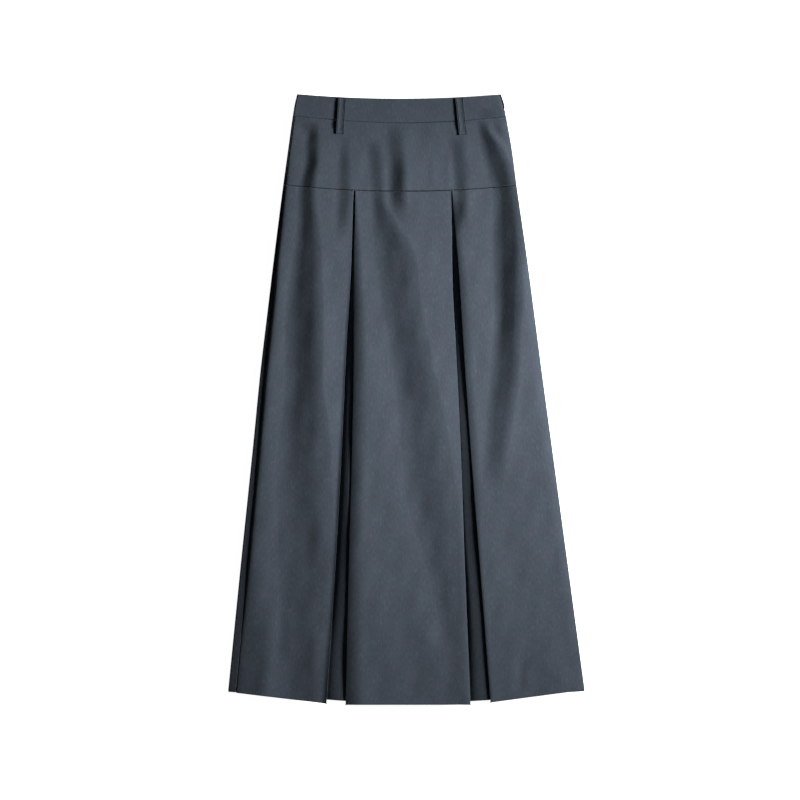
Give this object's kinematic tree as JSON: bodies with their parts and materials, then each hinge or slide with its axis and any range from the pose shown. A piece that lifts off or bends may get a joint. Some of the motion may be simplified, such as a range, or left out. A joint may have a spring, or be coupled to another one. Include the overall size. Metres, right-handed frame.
{
  "type": "a-line midi skirt",
  "caption": "A-line midi skirt in dark suiting, laid flat and face up, with a waistband with belt loops, a hip yoke and inverted front pleats.",
  "frame": {"origin": "middle of the bounding box, on the surface that the skirt lies on", "axes": "+Y from the hem to the waist, +Z out of the front of the skirt, +X toward the side with the zip"},
  "size_m": [0.5527, 0.9457, 0.0119],
  "materials": {
    "suiting": "matte heathered worsted",
    "zip_nylon": "black woven tape"
  },
  "bodies": {
    "root": {"skirt_back": "suiting", "panel_side_left": "suiting", "panel_centre": "suiting", "panel_side_right": "suiting", "pleat_underlay_left": "suiting", "pleat_underlay_right": "suiting", "yoke_front": "suiting", "waistband": "suiting", "belt_loop_left": "suiting", "belt_loop_right": "suiting", "side_zip": "zip_nylon"}
  },
  "joints": []
}
